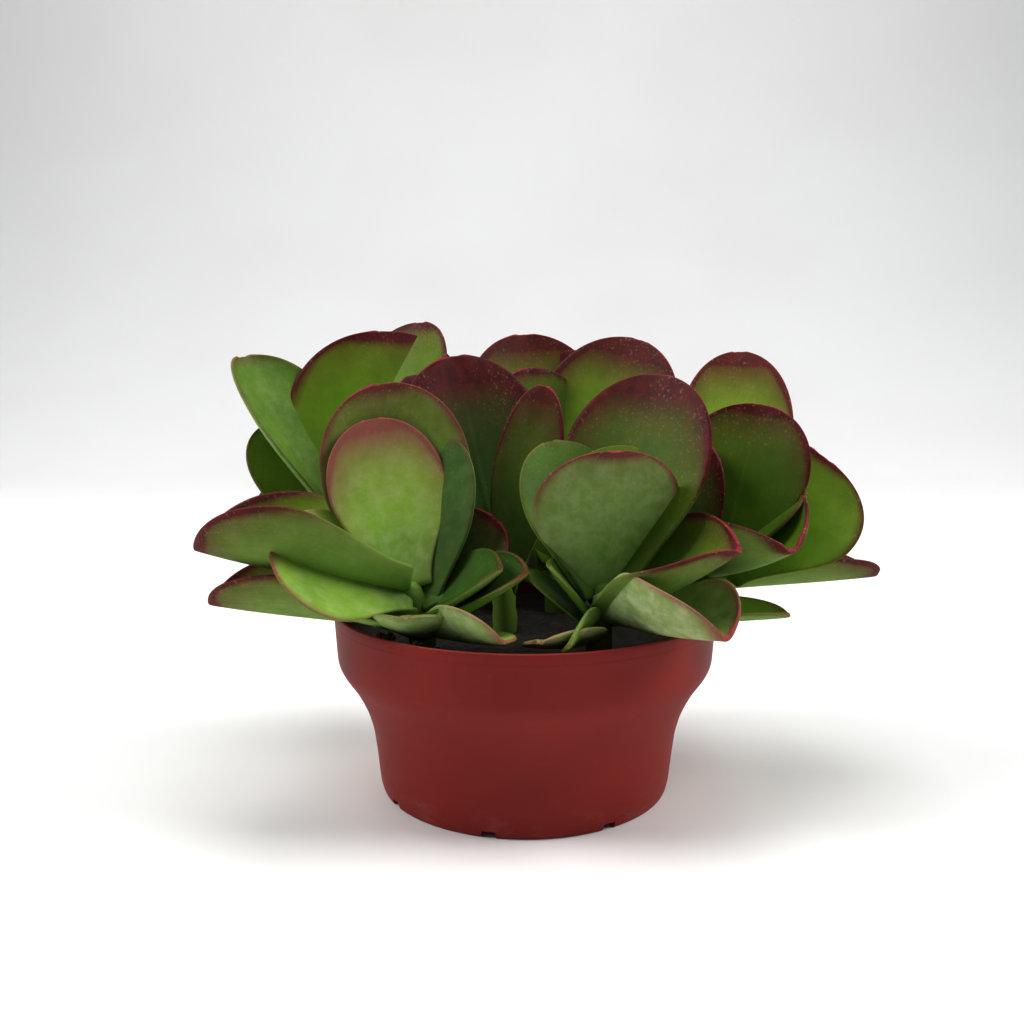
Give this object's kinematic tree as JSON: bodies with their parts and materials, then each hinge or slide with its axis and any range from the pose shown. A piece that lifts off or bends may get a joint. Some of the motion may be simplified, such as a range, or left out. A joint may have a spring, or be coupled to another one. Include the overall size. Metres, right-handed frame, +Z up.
{
  "type": "potted succulent",
  "caption": "Paddle plant: leafy stems of broad fleshy upright leaves in a shallow round plastic pot, a free-standing houseplant.",
  "frame": {"origin": "centre of the pot's flat base", "axes": "+Z up, -Y towards the front of the plant, +X to the right as seen from the front"},
  "size_m": [0.3421, 0.222, 0.2357],
  "materials": {
    "pot_plastic": "matte red-brown terracotta-coloured plastic",
    "soil_dark": "dark moist potting soil, rough",
    "leaf_front_left": "smooth fleshy leaf with a fine powdery bloom, satin",
    "leaf_back_left": "smooth fleshy leaf with a fine powdery bloom, satin",
    "leaf_middle": "smooth fleshy leaf with a fine powdery bloom, satin",
    "leaf_front_right": "smooth fleshy leaf with a fine powdery bloom, satin",
    "leaf_right": "smooth fleshy leaf with a fine powdery bloom, satin",
    "leaf_back": "smooth fleshy leaf with a fine powdery bloom, satin"
  },
  "bodies": {
    "root": {"pot": "pot_plastic", "soil": "soil_dark", "leafy_stem_front_left": "leaf_front_left", "leafy_stem_back_left": "leaf_back_left", "leafy_stem_middle": "leaf_middle", "leafy_stem_front_right": "leaf_front_right", "leafy_stem_right": "leaf_right", "leafy_stem_back": "leaf_back"}
  },
  "joints": []
}
